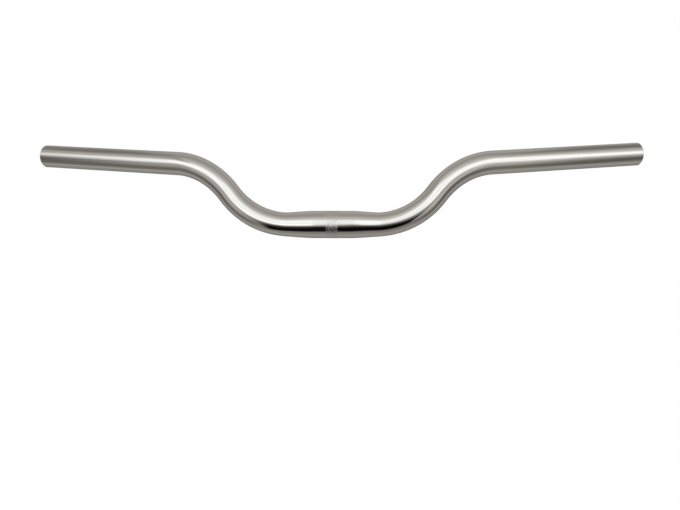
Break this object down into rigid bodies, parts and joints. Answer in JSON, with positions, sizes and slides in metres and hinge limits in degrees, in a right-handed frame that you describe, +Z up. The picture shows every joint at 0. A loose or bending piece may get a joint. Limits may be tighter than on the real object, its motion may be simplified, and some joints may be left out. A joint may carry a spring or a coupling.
{
  "type": "bicycle handlebar",
  "caption": "Riser handlebar for a folding bicycle: one bent aluminium tube with a swelled clamp seat in the middle and straight swept-back grips.",
  "frame": {"origin": "middle of the clamp seat, on its axis", "axes": "+X along the clamp seat to one end, +Y back towards the rider, +Z up, the way the risers rise"},
  "size_m": [0.5918, 0.0705, 0.0946],
  "materials": {
    "polished_aluminium": "polished and clear anodised, with a knurled strip in the middle of the clamp seat"
  },
  "bodies": {
    "root": {"handlebar": "polished_aluminium"}
  },
  "joints": []
}
